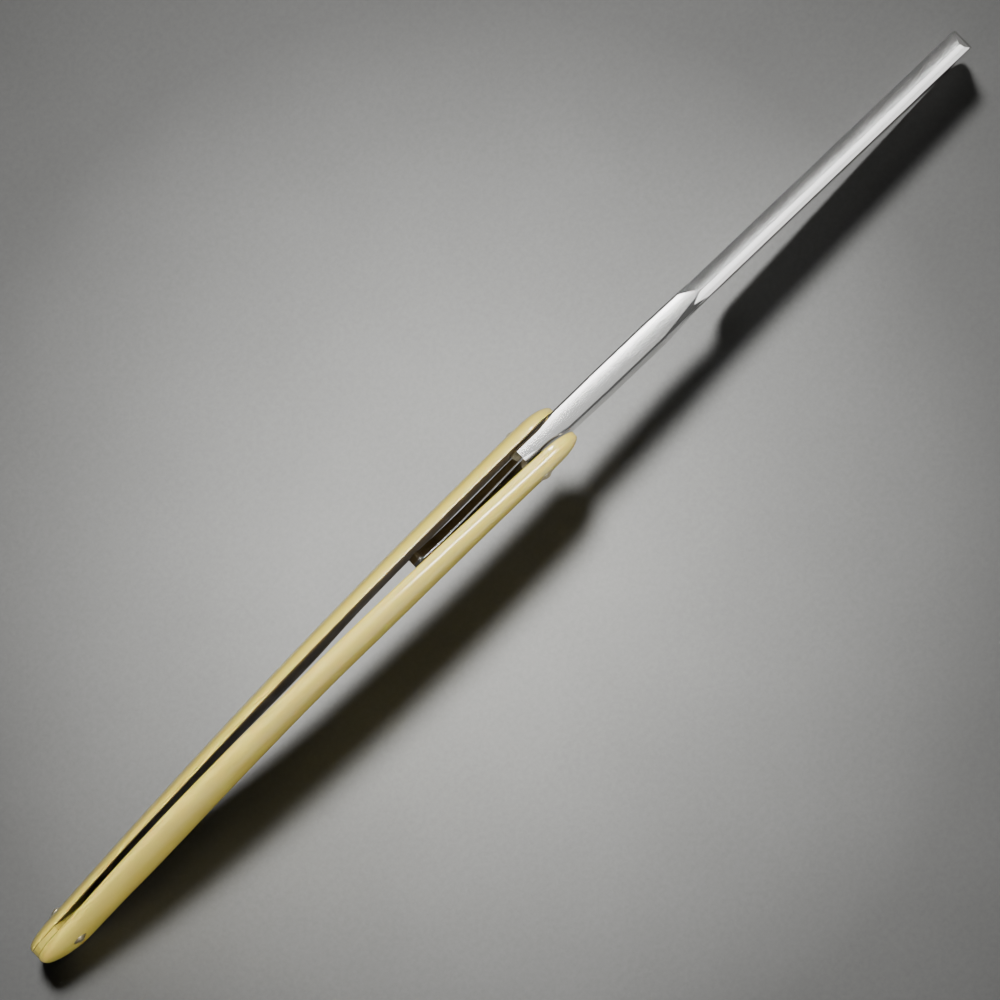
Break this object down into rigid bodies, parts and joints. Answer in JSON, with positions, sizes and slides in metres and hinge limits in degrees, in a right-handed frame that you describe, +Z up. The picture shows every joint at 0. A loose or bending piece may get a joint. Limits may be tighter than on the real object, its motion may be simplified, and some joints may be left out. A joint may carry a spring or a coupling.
{
  "type": "folding straight razor",
  "caption": "Open folding straight razor: a forged steel blade with tang and tail, turning on one pin between two long bowed cream scales joined by a wedge and pin.",
  "frame": {"origin": "middle of the bounding box in plan, at the ground that the handle's far end and the blade's toe touch", "axes": "+X along the open razor from handle to tip, +Y towards the left scale, +Z up, spine upwards and cutting edge down"},
  "size_m": [0.2562, 0.0118, 0.0317],
  "materials": {
    "blade_steel": "polished carbon steel",
    "scale_cream": "polished cream celluloid, faintly mottled",
    "wedge_cream": "polished cream celluloid",
    "pin_metal": "worn nickel silver",
    "washer_metal": "worn nickel silver"
  },
  "bodies": {
    "handle": {"scale_left": "scale_cream", "scale_right": "scale_cream", "wedge": "wedge_cream", "pivot_pin": "pin_metal", "wedge_pin": "pin_metal", "inner_washer_left": "washer_metal", "inner_washer_right": "washer_metal", "pivot_washer_left": "washer_metal", "pivot_washer_right": "washer_metal", "wedge_washer_left": "washer_metal", "wedge_washer_right": "washer_metal"},
    "blade": {"blade": "blade_steel"}
  },
  "joints": [
    {"name": "blade_pivot", "type": "hinge", "parent": "handle", "child": "blade", "pos_m": [0.01304, 0, 0.0229], "axis": [0, 1, 0], "range_deg": [-90, 166]}
  ]
}
